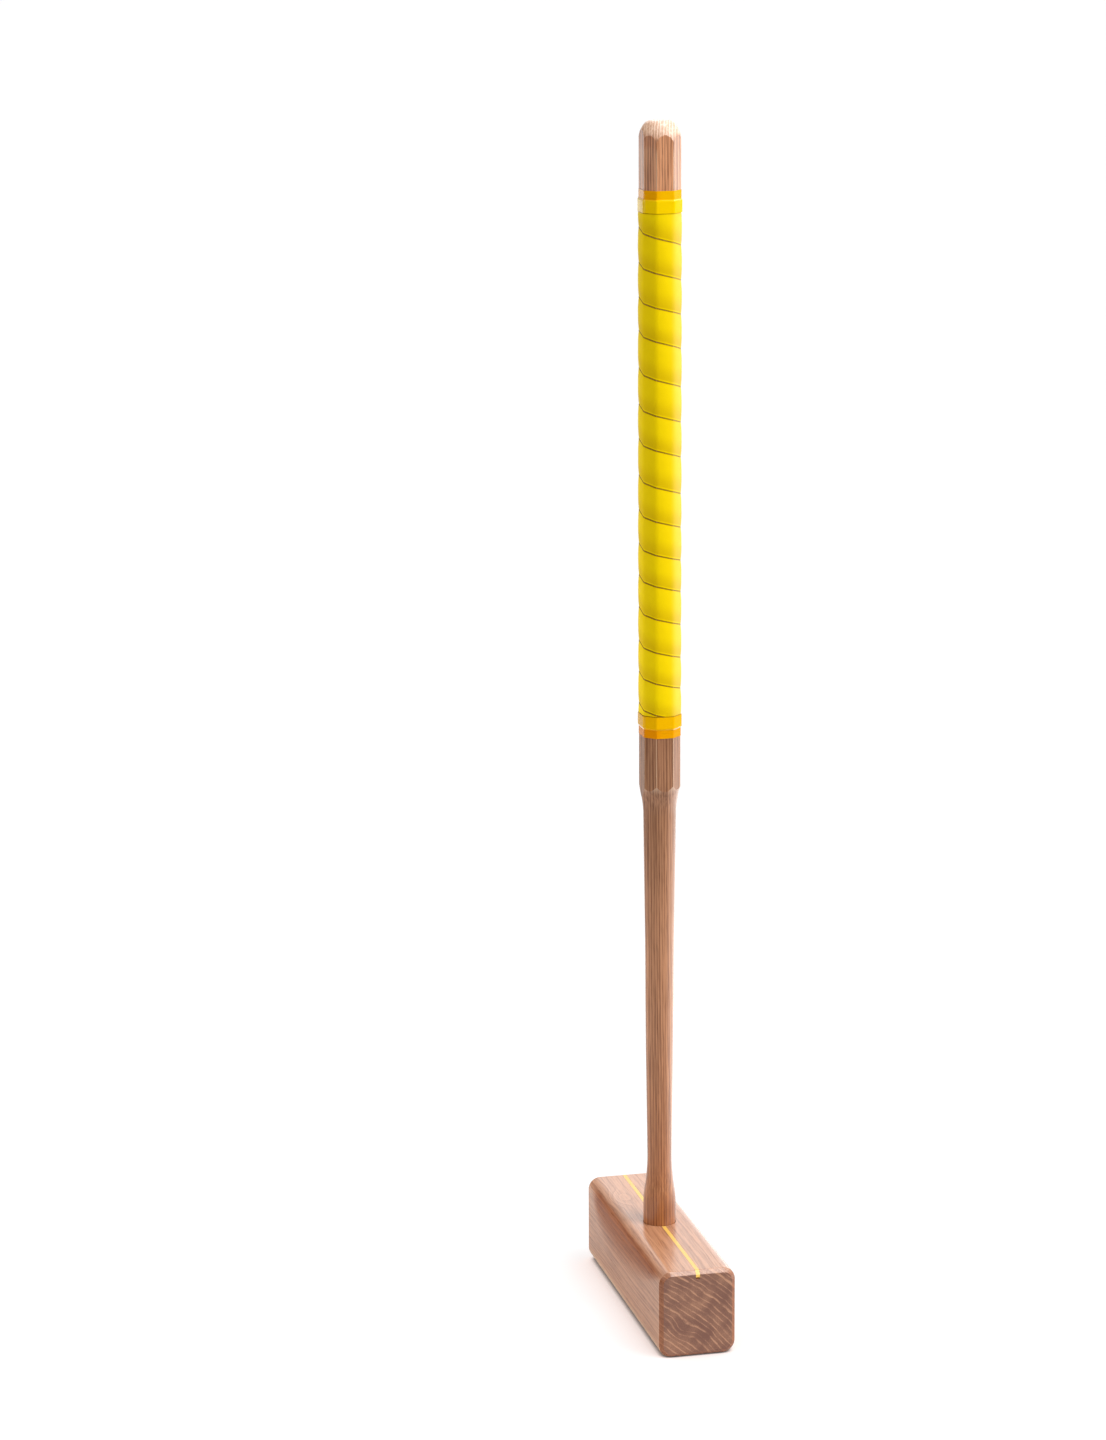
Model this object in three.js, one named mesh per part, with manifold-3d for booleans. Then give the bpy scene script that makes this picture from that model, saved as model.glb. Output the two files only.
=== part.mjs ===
// A croquet mallet: an ash head, an ash handle with an octagonal grip and a domed top,
// a foam strip wound round the grip, a tape band over each end of the foam, a strip let
// into the top of the head for aiming, and the wedge that holds the tenon in the head.
//
// Millimetres. +Z runs up the handle, +X along the head towards the front face, and the
// origin is at the middle of the sole, under the handle's axis.

import * as THREE from 'three';
import { mergeVertices } from 'three/addons/utils/BufferGeometryUtils.js';
import Module from 'manifold-3d';

const wasm = await Module();
wasm.setup();

// The whole mallet
const overallHeight = 914.4;

// The head
const headLength = 227;
const headWidth = 59;
const headHeight = 67.5;
const headEdgeRadius = 9.5; // along the four long edges
const headEndChamfer = 2.9; // round both striking faces

// The groove along the top of the head and the strip in it
const grooveWidth = 3.2;
const grooveDepth = 6.4;
const sightHeight = 5.1;
const sightSideGap = 0.1;

// The tenon, its mortise and its wedge
const mortiseGap = 0.3; // all round the tenon
const soleRecess = 0.5; // the tenon and the wedge stop this far above the sole
const wedgeLength = 34;
const wedgeButt = 4.2; // thickness at the sole
const wedgeTip = 1.4;
const wedgeGap = 0.25; // between the wedge and each wall of its kerf

// The turned shaft, from the foot up
const footDiameter = 25;
const footTop = 90; // top of the straight foot, above the sole
const neckDiameter = 18.9;
const neckHeight = 122; // where the flare above the foot ends
const shaftTopDiameter = 24.9;
const coveLength = 26.5; // of the cove that runs out into the octagon
const coveRadius = 76;

// The octagon, wider along the head than across it
const octagonAlong = 31;
const octagonAcross = 28;
const octagonChamfer = 7.5; // leg of each corner chamfer
const octagonHeight = 496; // from the top of the cove to the top of the dome

// The dome
const domeSideRadius = 30;
const domeEdgeRadius = 8;
const domeLength = 19.4;

// The foam strip
const gripLength = 394;
const gripBelowTop = 58; // from the top of the dome down to the foam
const gripPitch = 25.5;
const gripDrift = 4.6; // how far the middle turns lie below an even winding
const gripSeam = 0.6; // between neighbouring turns
const gripThickness = 0.85;
const gripEdgeThickness = 0.5; // at the strip's two edges
const gripShoulder = 4.5; // width of the slope between an edge and the full thickness
const gripShoulderShare = 0.33; // the most of a narrowed stretch that each slope takes
const gripTail = 1.2; // width of the strip's pointed ends
const gripStartCorner = 7; // the corner of the octagon where the strip begins, counted round

// The tape bands
const tapeWidth = 16.4;
const tapeThickness = 0.3;
const tapeOverFoam = 8.6; // how far each band reaches over the foam
const tapeRamp = 1.6; // length of the slope from the foam down to the wood
const tapeSqueeze = 0.35; // how far the foam is pressed down under a band

// Fits and cuts
const fitGap = 0.2; // between wood, foam and tape
const overrun = 5; // how far a cutting body runs past what it cuts

// Fineness of the curved surfaces
const turnedSides = 40;
const edgeSteps = 8;
const chamferSteps = 1;
const coveSteps = 6;
const shaftSteps = 14;
const flareSteps = 6;
const domeSideSteps = 6;
const domeEdgeSteps = 3;
const stepsPerFacet = 3;

// Heights worked out from the sizes above
const shaftTop = overallHeight - octagonHeight - coveLength;
const domeFoot = overallHeight - domeLength;
const gripTop = overallHeight - gripBelowTop;
const gripBottom = gripTop - gripLength;

// How the shaft swells from the neck to the cove: shares of its length and of its gain in radius
const swellShares = [
  [0, 0],
  [0.27, 0.36],
  [0.44, 0.5],
  [0.6, 0.56],
  [0.79, 0.77],
  [1, 1],
];

// Closed bodies and booleans

function toSolid(geometry) {
  const bare = geometry.index ? geometry.toNonIndexed() : geometry.clone();
  for (const name of Object.keys(bare.attributes)) {
    if (name !== 'position') bare.deleteAttribute(name);
  }
  const merged = mergeVertices(bare);
  return new wasm.Manifold(
    new wasm.Mesh({
      numProp: 3,
      vertProperties: merged.attributes.position.array,
      triVerts: merged.index.array,
    }),
  );
}

function toGeometry(solid) {
  const mesh = solid.getMesh();
  const geometry = new THREE.BufferGeometry();
  geometry.setAttribute('position', new THREE.BufferAttribute(mesh.vertProperties, mesh.numProp));
  geometry.setIndex(new THREE.BufferAttribute(mesh.triVerts, 1));
  geometry.computeVertexNormals();
  return geometry;
}

function cornerBox(low, high) {
  const size = new THREE.Vector3().subVectors(high, low);
  const centre = new THREE.Vector3().addVectors(low, high).divideScalar(2);
  return new THREE.BoxGeometry(size.x, size.y, size.z).translate(centre.x, centre.y, centre.z);
}

// Skins a grid of rings into a closed body. A ring is a closed loop of points; the rings
// follow each other, and either close on themselves or end in two flat caps.
function skin(rings, closed) {
  const width = rings[0].length;
  const positions = rings.flatMap((ring) => ring.flatMap((point) => point.toArray()));
  const index = [];
  const spans = closed ? rings.length : rings.length - 1;
  for (let i = 0; i < spans; i += 1) {
    const here = i * width;
    const next = ((i + 1) % rings.length) * width;
    for (let j = 0; j < width; j += 1) {
      const k = (j + 1) % width;
      index.push(here + j, here + k, next + k);
      index.push(here + j, next + k, next + j);
    }
  }
  if (!closed) {
    const last = spans * width;
    for (let j = 1; j < width - 1; j += 1) {
      index.push(0, j + 1, j);
      index.push(last, last + j, last + j + 1);
    }
  }
  const geometry = new THREE.BufferGeometry();
  geometry.setAttribute('position', new THREE.Float32BufferAttribute(positions, 3));
  geometry.setIndex(index);
  geometry.computeVertexNormals();
  return geometry;
}

// The octagon's section

// The eight corners of the octagon grown outwards by offset, counter-clockwise from above,
// starting at the front corner on the +Y side
function octagonCorners(offset) {
  const along = octagonAlong / 2 + offset;
  const across = octagonAcross / 2 + offset;
  const leg = octagonChamfer + offset * (2 - Math.SQRT2);
  const quarter = [
    [along, across - leg],
    [along - leg, across],
  ];
  const corners = [];
  for (const [signX, signY] of [[1, 1], [-1, 1], [-1, -1], [1, -1]]) {
    const pair = quarter.map(([x, y]) => new THREE.Vector2(signX * x, signY * y));
    if (signX * signY < 0) pair.reverse();
    corners.push(...pair);
  }
  return corners;
}

const facetLengths = octagonCorners(0).map((corner, i, corners) => (
  corner.distanceTo(corners[(i + 1) % corners.length])
));
const perimeter = facetLengths.reduce((sum, length) => sum + length);
const stepsPerTurn = stepsPerFacet * facetLengths.length;

// A point on the grown octagon, after a whole number of steps round it
function octagonPoint(step, offset) {
  const corners = octagonCorners(offset);
  const facet = Math.floor(step / stepsPerFacet) % corners.length;
  const share = (step % stepsPerFacet) / stepsPerFacet;
  return corners[facet].clone().lerp(corners[(facet + 1) % corners.length], share);
}

// The head

function headEnvelope() {
  const x = headWidth / 2;
  const top = headHeight;
  const r = headEdgeRadius;
  const outline = new THREE.Shape();
  outline.moveTo(-x + r, 0);
  outline.lineTo(x - r, 0);
  outline.absarc(x - r, r, r, -Math.PI / 2, 0, false);
  outline.lineTo(x, top - r);
  outline.absarc(x - r, top - r, r, 0, Math.PI / 2, false);
  outline.lineTo(-x + r, top);
  outline.absarc(-x + r, top - r, r, Math.PI / 2, Math.PI, false);
  outline.lineTo(-x, r);
  outline.absarc(-x + r, r, r, Math.PI, Math.PI * 1.5, false);
  const straight = headLength - 2 * headEndChamfer;
  const geometry = new THREE.ExtrudeGeometry(outline, {
    depth: straight,
    curveSegments: edgeSteps,
    bevelThickness: headEndChamfer,
    bevelSize: headEndChamfer,
    bevelOffset: -headEndChamfer,
    bevelSegments: chamferSteps,
  });
  geometry.translate(0, 0, -straight / 2);
  const turn = new THREE.Matrix4().makeBasis(
    new THREE.Vector3(0, 1, 0),
    new THREE.Vector3(0, 0, 1),
    new THREE.Vector3(1, 0, 0),
  );
  return geometry.applyMatrix4(turn);
}

function headBlock() {
  const mortise = new THREE.CylinderGeometry(
    footDiameter / 2 + mortiseGap,
    footDiameter / 2 + mortiseGap,
    headHeight + 2 * overrun,
    turnedSides,
  );
  mortise.rotateX(Math.PI / 2).translate(0, 0, headHeight / 2);
  const groove = cornerBox(
    new THREE.Vector3(-headLength / 2 - overrun, -grooveWidth / 2, headHeight - grooveDepth),
    new THREE.Vector3(headLength / 2 + overrun, grooveWidth / 2, headHeight + overrun),
  );
  return toGeometry(toSolid(headEnvelope()).subtract(toSolid(groove)).subtract(toSolid(mortise)));
}

// One length of the aiming strip, from the tenon to the front or the rear face
function sightLine(side) {
  const inner = footDiameter / 2 + 2 * mortiseGap;
  const halfWidth = grooveWidth / 2 - sightSideGap;
  const low = new THREE.Vector3(inner, -halfWidth, headHeight - sightHeight);
  const high = new THREE.Vector3(headLength / 2 + overrun, halfWidth, headHeight + overrun);
  if (side < 0) [low.x, high.x] = [-high.x, -low.x];
  return toGeometry(toSolid(headEnvelope()).intersect(toSolid(cornerBox(low, high))));
}

// The handle

// Half of the turned outline, from the sole end of the tenon to the crown of the dome
function turnedProfile() {
  const foot = footDiameter / 2;
  const neck = neckDiameter / 2;
  const shaft = shaftTopDiameter / 2;
  const points = [new THREE.Vector2(0, soleRecess), new THREE.Vector2(foot, soleRecess)];

  // The flare is an arc that starts at the foot's edge and meets the neck smoothly
  const rise = neckHeight - footTop;
  const spread = foot - neck;
  const flareRadius = (rise * rise + spread * spread) / (2 * spread);
  for (let i = 0; i < flareSteps; i += 1) {
    const drop = rise * (1 - i / flareSteps);
    const out = flareRadius - Math.sqrt(flareRadius ** 2 - drop ** 2);
    points.push(new THREE.Vector2(neck + out, neckHeight - drop));
  }

  const swell = new THREE.SplineCurve(
    swellShares.map(([lengthShare, gainShare]) => new THREE.Vector2(
      neck + (shaft - neck) * gainShare,
      neckHeight + (shaftTop - neckHeight) * lengthShare,
    )),
  );
  points.push(...swell.getPoints(shaftSteps));

  for (let i = 1; i <= coveSteps; i += 1) {
    const climb = (coveLength * i) / coveSteps;
    const out = coveRadius - Math.sqrt(coveRadius ** 2 - climb ** 2);
    points.push(new THREE.Vector2(shaft + out, shaftTop + climb));
  }

  // Past the cove the turned body clears every corner of the octagon, up to the dome
  const widest = Math.max(...octagonCorners(0).map((corner) => corner.length()));
  const full = widest + fitGap;
  points.push(new THREE.Vector2(full, shaftTop + coveLength + fitGap));

  // The dome is a side arc and a tighter arc that turns into a flat crown
  const sideCentre = full - domeSideRadius;
  const edgeHeight = domeLength - domeEdgeRadius;
  const reach = domeSideRadius - domeEdgeRadius;
  const meeting = Math.asin(edgeHeight / reach);
  for (let i = 0; i <= domeSideSteps; i += 1) {
    const angle = (meeting * i) / domeSideSteps;
    points.push(new THREE.Vector2(
      sideCentre + domeSideRadius * Math.cos(angle),
      domeFoot + domeSideRadius * Math.sin(angle),
    ));
  }
  const edgeCentre = sideCentre + reach * Math.cos(meeting);
  for (let i = 1; i <= domeEdgeSteps; i += 1) {
    const angle = meeting + ((Math.PI / 2 - meeting) * i) / domeEdgeSteps;
    points.push(new THREE.Vector2(
      edgeCentre + domeEdgeRadius * Math.cos(angle),
      domeFoot + edgeHeight + domeEdgeRadius * Math.sin(angle),
    ));
  }
  points.push(new THREE.Vector2(0, overallHeight));
  return points;
}

// The wedge's taper run across the head, grown by gap on each side and past its two ends
function wedgeShape(gap, past) {
  const slope = (wedgeButt - wedgeTip) / 2 / wedgeLength;
  const butt = wedgeButt / 2 + gap + slope * past;
  const tip = wedgeTip / 2 + gap - slope * gap;
  const low = soleRecess - past;
  const high = soleRecess + wedgeLength + gap;
  const outline = new THREE.Shape([
    new THREE.Vector2(-butt, low),
    new THREE.Vector2(butt, low),
    new THREE.Vector2(tip, high),
    new THREE.Vector2(-tip, high),
  ]);
  const depth = footDiameter + 2 * overrun;
  const geometry = new THREE.ExtrudeGeometry(outline, { depth, bevelEnabled: false });
  return geometry.translate(0, 0, -depth / 2).rotateX(Math.PI / 2);
}

function handle() {
  const turned = new THREE.LatheGeometry(turnedProfile(), turnedSides).rotateX(Math.PI / 2);
  const prism = new THREE.ExtrudeGeometry(new THREE.Shape(octagonCorners(0)), {
    depth: overallHeight + 2 * overrun,
    bevelEnabled: false,
  });
  prism.translate(0, 0, -overrun);
  return toGeometry(
    toSolid(turned).intersect(toSolid(prism)).subtract(toSolid(wedgeShape(wedgeGap, overrun))),
  );
}

function tenonWedge() {
  const reach = footDiameter / 2 - wedgeGap;
  const limit = new THREE.CylinderGeometry(reach, reach, wedgeLength * 2 + overrun, turnedSides);
  limit.rotateX(Math.PI / 2);
  return toGeometry(toSolid(wedgeShape(0, 0)).intersect(toSolid(limit)));
}

// The wound foam strip

const gripStartStep = gripStartCorner * stepsPerFacet;
const gripTurns = 1 + (gripLength - 2 * gripTail) / gripPitch;

// The turns that the strip has made after a number of steps from its start
function turnsAfter(steps) {
  let walked = 0;
  for (let i = 0; i < steps % stepsPerTurn; i += 1) {
    const facet = Math.floor((gripStartStep + i) / stepsPerFacet) % facetLengths.length;
    walked += facetLengths[facet] / stepsPerFacet;
  }
  return Math.floor(steps / stepsPerTurn) + walked / perimeter;
}

// The height of the seam under the strip: it falls as it goes round counter-clockwise
function seamHeight(turns) {
  const drift = gripDrift * Math.sin((Math.PI * turns) / gripTurns);
  return gripTop - gripTail - gripPitch * turns - drift;
}

// One section of the strip. It reaches from the seam under it to the seam above it, and its
// first and last turns narrow to a point along the foam's flat ends.
function gripSection(steps) {
  const turns = turnsAfter(steps);
  const high = Math.min(gripTop, seamHeight(turns - 1) - gripSeam / 2);
  const low = Math.max(gripBottom, seamHeight(turns) + gripSeam / 2);
  const shoulder = Math.min(gripShoulder, (high - low) * gripShoulderShare);
  const edge = fitGap + gripEdgeThickness;
  const full = fitGap + gripThickness;
  return [
    [fitGap, low],
    [fitGap, high],
    [edge, high],
    [full, high - shoulder],
    [full, low + shoulder],
    [edge, low],
  ].map(([offset, z]) => {
    const point = octagonPoint(gripStartStep + steps, offset);
    return new THREE.Vector3(point.x, point.y, z);
  });
}

function gripSections() {
  const sections = [];
  for (let i = 0; turnsAfter(i) < gripTurns; i += 1) sections.push(gripSection(i));
  return sections;
}

// The least distance between the points of one turn and those of the next
function leastSeam(sections) {
  let least = Infinity;
  for (let i = 0; i + stepsPerTurn < sections.length; i += 1) {
    const next = sections.slice(i + stepsPerTurn - 1, i + stepsPerTurn + 2).flat();
    for (const a of sections[i]) {
      for (const b of next) least = Math.min(least, a.distanceTo(b));
    }
  }
  return least;
}

function foamGrip() {
  const sections = gripSections();
  console.log(`least gap between turns of the foam strip: ${leastSeam(sections).toFixed(2)} mm`);
  const strip = toSolid(skin(sections, false));
  const upperPress = tapeRing(1, fitGap, overrun);
  const lowerPress = tapeRing(-1, fitGap, overrun);
  return toGeometry(strip.subtract(upperPress).subtract(lowerPress));
}

// The tape bands

// A ring that follows one band: its inner face stands clear of the band by gap, and it is
// thickness thick. side is 1 at the top of the foam and -1 at the bottom.
function tapeRing(side, gap, thickness) {
  const foamEnd = side > 0 ? gripTop : gripBottom;
  const foamEdge = foamEnd - side * tapeOverFoam;
  const woodEdge = foamEdge + side * tapeWidth;
  const onWood = fitGap - gap;
  const onFoam = 2 * fitGap + gripThickness - tapeSqueeze - gap;
  const rampStart = foamEnd + side * fitGap;
  const inner = [
    [foamEdge - side * gap, onFoam],
    [rampStart, onFoam],
    [rampStart + side * tapeRamp, onWood],
    [woodEdge + side * gap, onWood],
  ];
  const outer = inner.map(([z, offset]) => [z, offset + thickness]).reverse();
  const outline = [...inner, ...outer];
  if (side > 0) outline.reverse();
  const rings = outline.map(([z, offset]) => (
    octagonCorners(offset).map((corner) => new THREE.Vector3(corner.x, corner.y, z))
  ));
  return toSolid(skin(rings, true));
}

function tapeBand(side) {
  return toGeometry(tapeRing(side, 0, tapeThickness));
}

// The finishes

const finishes = {
  headAsh: { color: 0xb98f72, roughness: 0.42, metalness: 0 },
  handleAsh: { color: 0xa9805f, roughness: 0.45, metalness: 0 },
  wedgeWood: { color: 0x8a5f3e, roughness: 0.6, metalness: 0 },
  sightYellow: { color: 0xe8c832, roughness: 0.4, metalness: 0 },
  foamYellow: { color: 0xf2d21c, roughness: 0.92, metalness: 0 },
  tapeYellow: { color: 0xf5b90c, roughness: 0.22, metalness: 0 },
};

function piece(name, geometry, finish) {
  const mesh = new THREE.Mesh(geometry, new THREE.MeshStandardMaterial(finishes[finish]));
  mesh.name = name;
  return mesh;
}

const mallet = new THREE.Group();
mallet.add(
  piece('head_block', headBlock(), 'headAsh'),
  piece('sight_line_front', sightLine(1), 'sightYellow'),
  piece('sight_line_rear', sightLine(-1), 'sightYellow'),
  piece('handle', handle(), 'handleAsh'),
  piece('tenon_wedge', tenonWedge(), 'wedgeWood'),
  piece('foam_grip', foamGrip(), 'foamYellow'),
  piece('tape_upper', tapeBand(1), 'tapeYellow'),
  piece('tape_lower', tapeBand(-1), 'tapeYellow'),
);

export default mallet;
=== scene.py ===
import math

import bmesh
import bpy
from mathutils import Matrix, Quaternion, Vector, noise


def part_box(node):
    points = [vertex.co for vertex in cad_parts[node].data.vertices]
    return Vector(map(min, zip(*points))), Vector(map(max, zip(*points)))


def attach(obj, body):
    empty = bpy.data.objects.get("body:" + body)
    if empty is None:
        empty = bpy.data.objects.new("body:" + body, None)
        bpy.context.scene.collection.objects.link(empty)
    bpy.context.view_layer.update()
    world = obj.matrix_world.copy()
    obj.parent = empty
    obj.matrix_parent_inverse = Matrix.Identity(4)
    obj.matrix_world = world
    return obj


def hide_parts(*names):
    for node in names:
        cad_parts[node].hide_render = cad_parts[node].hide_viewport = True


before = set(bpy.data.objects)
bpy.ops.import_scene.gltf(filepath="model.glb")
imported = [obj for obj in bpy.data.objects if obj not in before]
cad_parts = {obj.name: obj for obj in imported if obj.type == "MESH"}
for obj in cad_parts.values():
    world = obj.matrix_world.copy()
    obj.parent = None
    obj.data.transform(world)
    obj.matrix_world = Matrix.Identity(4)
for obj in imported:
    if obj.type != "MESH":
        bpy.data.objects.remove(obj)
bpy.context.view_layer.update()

print('frame loaded:', sorted(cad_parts))


# Modelling helpers

def makeNone():
    # Back to object mode with nothing selected
    if bpy.context.mode != 'OBJECT':
        bpy.ops.object.mode_set(mode='OBJECT')
    bpy.ops.object.select_all(action='DESELECT')


def makeActive(piece):
    makeNone()
    piece.select_set(True)
    bpy.context.view_layer.objects.active = piece


def pick(piece, kind, wanted):
    # Opens the piece in edit mode with only the verts, edges or faces that wanted says yes to
    makeActive(piece)
    bpy.ops.object.mode_set(mode='EDIT')
    bpy.ops.mesh.select_mode(type={'verts': 'VERT', 'edges': 'EDGE', 'faces': 'FACE'}[kind])
    bpy.ops.mesh.select_all(action='DESELECT')
    mesh = bmesh.from_edit_mesh(piece.data)
    for item in getattr(mesh, kind):
        if wanted(item):
            item.select_set(True)
    mesh.select_flush_mode()
    bmesh.update_edit_mesh(piece.data)


def named(name):
    piece = bpy.context.object
    piece.name = name
    piece.data.name = name
    return piece


def addBox(name, low, high):
    low, high = Vector(low), Vector(high)
    makeNone()
    bpy.ops.mesh.primitive_cube_add(size=1, location=(low + high) / 2, scale=high - low)
    bpy.ops.object.transform_apply(location=True, rotation=True, scale=True)
    return named(name)


def copyOf(piece, name):
    makeActive(piece)
    bpy.ops.object.duplicate()
    return named(name)


def finishWith(piece, kind, **settings):
    makeActive(piece)
    change = piece.modifiers.new(kind.title(), kind)
    for setting, value in settings.items():
        setattr(change, setting, value)
    bpy.ops.object.modifier_apply(modifier=change.name)


def carve(piece, cutter, operation='DIFFERENCE'):
    finishWith(piece, 'BOOLEAN', operation=operation, object=cutter, solver='EXACT')
    bpy.data.objects.remove(cutter)


def smooth(piece, degrees):
    # Flat faces stay flat and curved ones run smooth, with a crisp line past the given angle
    makeActive(piece)
    bpy.ops.object.shade_smooth_by_angle(angle=math.radians(degrees))
    finishWith(piece, 'WEIGHTED_NORMAL', mode='FACE_AREA', keep_sharp=True)


def handIn(piece, slotName, *nodes):
    makeNone()
    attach(piece, 'root')
    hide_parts(*nodes)


def ease(share):
    share = min(1, max(0, share))
    return share * share * (3 - 2 * share)


# Shader helpers

class Wire:
    # One socket of a material, so that shader sums are written as plain expressions
    def __init__(self, tree, socket=None):
        self.tree = tree
        self.socket = socket

    def add(self, kind, settings=None, inputs=None, output=0):
        node = self.tree.nodes.new(kind)
        for name, value in (settings or {}).items():
            if name == 'stops':
                while len(node.color_ramp.elements) < len(value):
                    node.color_ramp.elements.new(1)
                for stop, (place, colour) in zip(node.color_ramp.elements, value):
                    stop.position = place
                    stop.color = (*colour, 1)
            else:
                setattr(node, name, value)
        for name, value in (inputs or {}).items():
            if isinstance(value, Wire):
                self.tree.links.new(value.socket, node.inputs[name])
            else:
                node.inputs[name].default_value = value
        return Wire(self.tree, node.outputs[output])

    def sum(self, operation, *values):
        return self.add('ShaderNodeMath', {'operation': operation}, dict(enumerate(values)))

    def __add__(self, other):
        return self.sum('ADD', self, other)

    def __radd__(self, other):
        return self.sum('ADD', other, self)

    def __sub__(self, other):
        return self.sum('SUBTRACT', self, other)

    def __rsub__(self, other):
        return self.sum('SUBTRACT', other, self)

    def __mul__(self, other):
        return self.sum('MULTIPLY', self, other)

    def __rmul__(self, other):
        return self.sum('MULTIPLY', other, self)

    def __truediv__(self, other):
        return self.sum('DIVIDE', self, other)

    def rise(self, low, high):
        # 0 below low, 1 above high, and a smooth step between them
        return self.add(
            'ShaderNodeMapRange', {'interpolation_type': 'SMOOTHSTEP'},
            {'Value': self, 'From Min': low, 'From Max': high})

    def between(self, low, high):
        # A 0 to 1 value spread over another range
        return self * (high - low) + low

    def blend(self, first, second, mode='MIX'):
        # This value mixes one colour into another. Inputs 6 and 7 are the node's two colours.
        return self.add(
            'ShaderNodeMix', {'data_type': 'RGBA', 'blend_type': mode},
            {0: self, 6: first, 7: second}, 2)

    def noise(self, where, scale, detail=2, roughness=.5, output=0):
        return self.add(
            'ShaderNodeTexNoise', None,
            {'Vector': where, 'Scale': scale, 'Detail': detail, 'Roughness': roughness}, output)

    def vector(self, x, y, z):
        return self.add('ShaderNodeCombineXYZ', None, {'X': x, 'Y': y, 'Z': z})

    def split(self):
        outputs = self.add('ShaderNodeSeparateXYZ', None, {'Vector': self}).socket.node.outputs
        return [Wire(self.tree, output) for output in outputs]

    def attribute(self, name):
        return self.add('ShaderNodeAttribute', {'attribute_name': name}, None, 2)

    def into(self, shader, name):
        self.tree.links.new(self.socket, shader.inputs[name])


def newMaterial(name, values):
    # A Principled material with its even values set
    material = bpy.data.materials.new(name)
    material.use_nodes = True
    shader = material.node_tree.nodes['Principled BSDF']
    for socket, value in values.items():
        shader.inputs[socket].default_value = value
    return material, Wire(material.node_tree), shader


def dress(material, *pieces):
    for piece in pieces:
        piece.data.materials.clear()
        piece.data.materials.append(material)


def bump(wire, shader, height, distance, strength=1):
    wire.add(
        'ShaderNodeBump', None,
        {'Height': height, 'Distance': distance, 'Strength': strength}).into(shader, 'Normal')


def lengthOf(wire, x, y):
    return wire.add('ShaderNodeVectorMath', {'operation': 'LENGTH'}, {0: wire.vector(x, y, 0)}, 1)


# The head

headShape = {
    'edgeRadius': .0095,  # the four long edges
    'edgeSteps': 12,
    'rimChamfer': .0029,  # round both striking faces
    'rimSoftness': .0003,  # of the chamfer's own two edges
    'rimSteps': 3,
    'grooveWidth': .0032,
    'grooveDepth': .0064,
    'mortiseGap': .0003,
    'mortiseSides': 96,
    'overrun': .005,
}


def makeHead():
    low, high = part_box('head_block')
    head = addBox('head', low, high)
    pick(head, 'edges', lambda edge: abs(edge.verts[0].co.x - edge.verts[1].co.x) > high.x)
    bpy.ops.mesh.bevel(
        offset=headShape['edgeRadius'], segments=headShape['edgeSteps'], profile=.5, affect='EDGES')
    pick(head, 'faces', lambda face: abs(face.normal.x) > .9)
    bpy.ops.mesh.region_to_loop()
    bpy.ops.mesh.bevel(offset=headShape['rimChamfer'], segments=1, affect='EDGES')
    bpy.ops.mesh.region_to_loop()
    bpy.ops.mesh.bevel(
        offset=headShape['rimSoftness'], segments=headShape['rimSteps'], profile=.5, affect='EDGES')
    makeNone()
    return head


def cutHead(head):
    low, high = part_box('head_block')
    past = headShape['overrun']
    groove = addBox(
        'groove',
        (low.x - past, -headShape['grooveWidth'] / 2, high.z - headShape['grooveDepth']),
        (high.x + past, headShape['grooveWidth'] / 2, high.z + past))
    carve(head, groove)
    bpy.ops.mesh.primitive_cylinder_add(
        vertices=headShape['mortiseSides'], depth=high.z + 2 * past,
        radius=handleShape['footRadius'] + headShape['mortiseGap'], location=(0, 0, high.z / 2))
    bpy.ops.object.transform_apply(location=True, rotation=True, scale=True)
    carve(head, named('mortise'))
    smooth(head, 40)


def makeSightLine(nodeName, pieceName, whole):
    # A length of yellow strip, trimmed flush to the rounded head
    low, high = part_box(nodeName)
    past = Vector((headShape['overrun'], 0, headShape['overrun']))
    if high.x > 0:
        strip = addBox(pieceName, low, high + past)
    else:
        strip = addBox(pieceName, low - Vector((past.x, 0, 0)), high + Vector((0, 0, past.z)))
    carve(strip, copyOf(whole, 'trim'), 'INTERSECT')
    smooth(strip, 40)
    return strip


# The handle

handleShape = {
    'footRadius': .0125,
    'footTop': .09,
    'shoulder': .007,  # how far its rounding reaches up and down
    'neckRadius': .00945,
    'neckHeight': .122,
    'shaftTopRadius': .01245,
    'coveLength': .0265,
    'coveRadius': .076,
    'octagonHeight': .496,  # from the top of the cove to the top of the dome
    'chamfer': .0075,
    'domeLength': .0194,
    'domeSideRadius': .03,
    'domeEdgeRadius': .008,
    'blankGap': .0002,  # from the octagon's corners out to the turned blank
    'edgeRadius': .0006,  # the octagon's sanded edges
    'kerfGap': .00025,
    'sides': 128,
}

# How the shaft swells from its neck to the cove: shares of its length and of its gain in radius
swellShares = [(0, 0), (.27, .36), (.44, .5), (.6, .56), (.79, .77), (1, 1)]


def splineAt(values, place):
    # A smooth curve through evenly spaced values; place counts them from 0
    last = len(values) - 1
    i = min(max(int(place), 0), last - 1)
    t = place - i
    a, b, c, d = (values[min(max(k, 0), last)] for k in (i - 1, i, i + 1, i + 2))
    return .5 * (2 * b + (c - a) * t + (2 * a - 5 * b + 4 * c - d) * t ** 2
                 + (3 * b - a - 3 * c + d) * t ** 3)


def arcPoints(centre, radius, start, end, steps):
    return [
        (centre[0] + radius * math.cos(start + (end - start) * i / steps),
         centre[1] + radius * math.sin(start + (end - start) * i / steps))
        for i in range(steps + 1)]


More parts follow.
